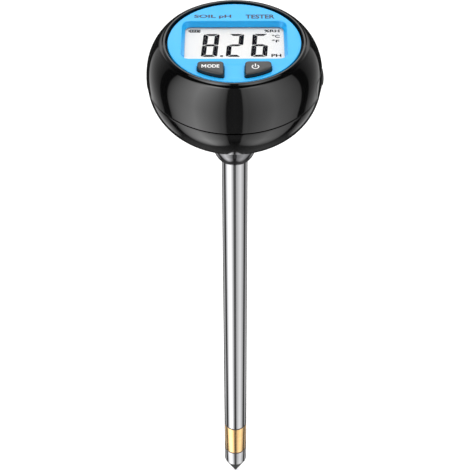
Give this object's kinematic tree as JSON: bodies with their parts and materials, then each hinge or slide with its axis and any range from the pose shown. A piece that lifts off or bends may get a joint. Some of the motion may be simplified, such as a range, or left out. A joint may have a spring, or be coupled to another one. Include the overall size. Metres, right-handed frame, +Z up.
{
  "type": "soil pH meter",
  "caption": "Hand-held soil pH meter: a round black two-part head with a blue display face and keys, on a long pointed steel probe with a gold electrode band.",
  "frame": {"origin": "the point of the probe", "axes": "+Z up along the probe to the display face, -Y towards the keys and the reader, +X to the reader's right, where the battery drawer opens"},
  "size_m": [0.0648, 0.0644, 0.2517],
  "materials": {
    "shell_black": "high gloss moulded black",
    "face_blue": "fine satin light blue",
    "key_black": "satin charcoal",
    "rubber_black": "matt",
    "steel": "polished stainless steel",
    "dark_chrome": "polished dark chrome plating",
    "electrode_gold": "polished gold-coloured metal",
    "insulator": "dark brown-black resin",
    "lens_clear": "clear polished acrylic",
    "lcd_glass": "off-white display with black segments",
    "white_plastic": "plain white moulding",
    "board_green": "green solder mask",
    "chip_black": "matt black resin",
    "grey_plastic": "dark grey moulding",
    "screw_zinc": "bright zinc or nickel plate",
    "contact_nickel": "nickel-plated spring strip",
    "lead_grey": "grey soft jacket"
  },
  "bodies": {
    "meter_body": {"battery_bay": "grey_plastic", "battery_contact_rear": "contact_nickel", "battery_contact_top": "contact_nickel", "board_screw_1": "screw_zinc", "board_screw_2": "screw_zinc", "board_screw_3": "screw_zinc", "clock_crystal": "screw_zinc", "contact_strip_front": "rubber_black", "contact_strip_rear": "rubber_black", "controller_chip": "chip_black", "core_rod": "white_plastic", "display_lens": "lens_clear", "electrode_band": "electrode_gold", "face_gasket": "rubber_black", "face_plate": "face_blue", "frame_screw_1": "screw_zinc", "frame_screw_2": "screw_zinc", "frame_screw_3": "screw_zinc", "inner_frame": "grey_plastic", "lcd_backlight": "white_plastic", "lcd_cell": "lcd_glass", "lcd_holder": "white_plastic", "lower_insulator": "insulator", "lower_shell": "shell_black", "main_board": "board_green", "mode_switch": "chip_black", "power_switch": "chip_black", "probe_collar": "dark_chrome", "probe_lead": "lead_grey", "probe_nut": "screw_zinc", "probe_plug": "white_plastic", "probe_seal": "rubber_black", "probe_socket": "white_plastic", "probe_tip": "steel", "probe_tube": "steel", "probe_washer": "screw_zinc", "shell_screw_1": "screw_zinc", "shell_screw_2": "screw_zinc", "shell_screw_3": "screw_zinc", "temperature_sensor": "chip_black", "upper_insulator": "insulator", "upper_shell": "shell_black"},
    "mode_key": {"mode_button": "key_black", "mode_plunger": "white_plastic"},
    "power_key": {"power_button": "key_black", "power_plunger": "white_plastic"},
    "battery_drawer": {"battery_tray": "shell_black", "coin_cell": "screw_zinc"}
  },
  "joints": [
    {"name": "mode_press", "type": "slide", "parent": "meter_body", "child": "mode_key", "axis": [0, 0, -1], "range_m": [0, 0.0005], "stiffness_N_per_m": 3000, "springref_m": -0.00005},
    {"name": "power_press", "type": "slide", "parent": "meter_body", "child": "power_key", "axis": [0, 0, -1], "range_m": [0, 0.0005], "stiffness_N_per_m": 3000, "springref_m": -0.00005},
    {"name": "battery_slide", "type": "slide", "parent": "meter_body", "child": "battery_drawer", "axis": [1, 0, 0], "range_m": [0, 0.023]}
  ]
}
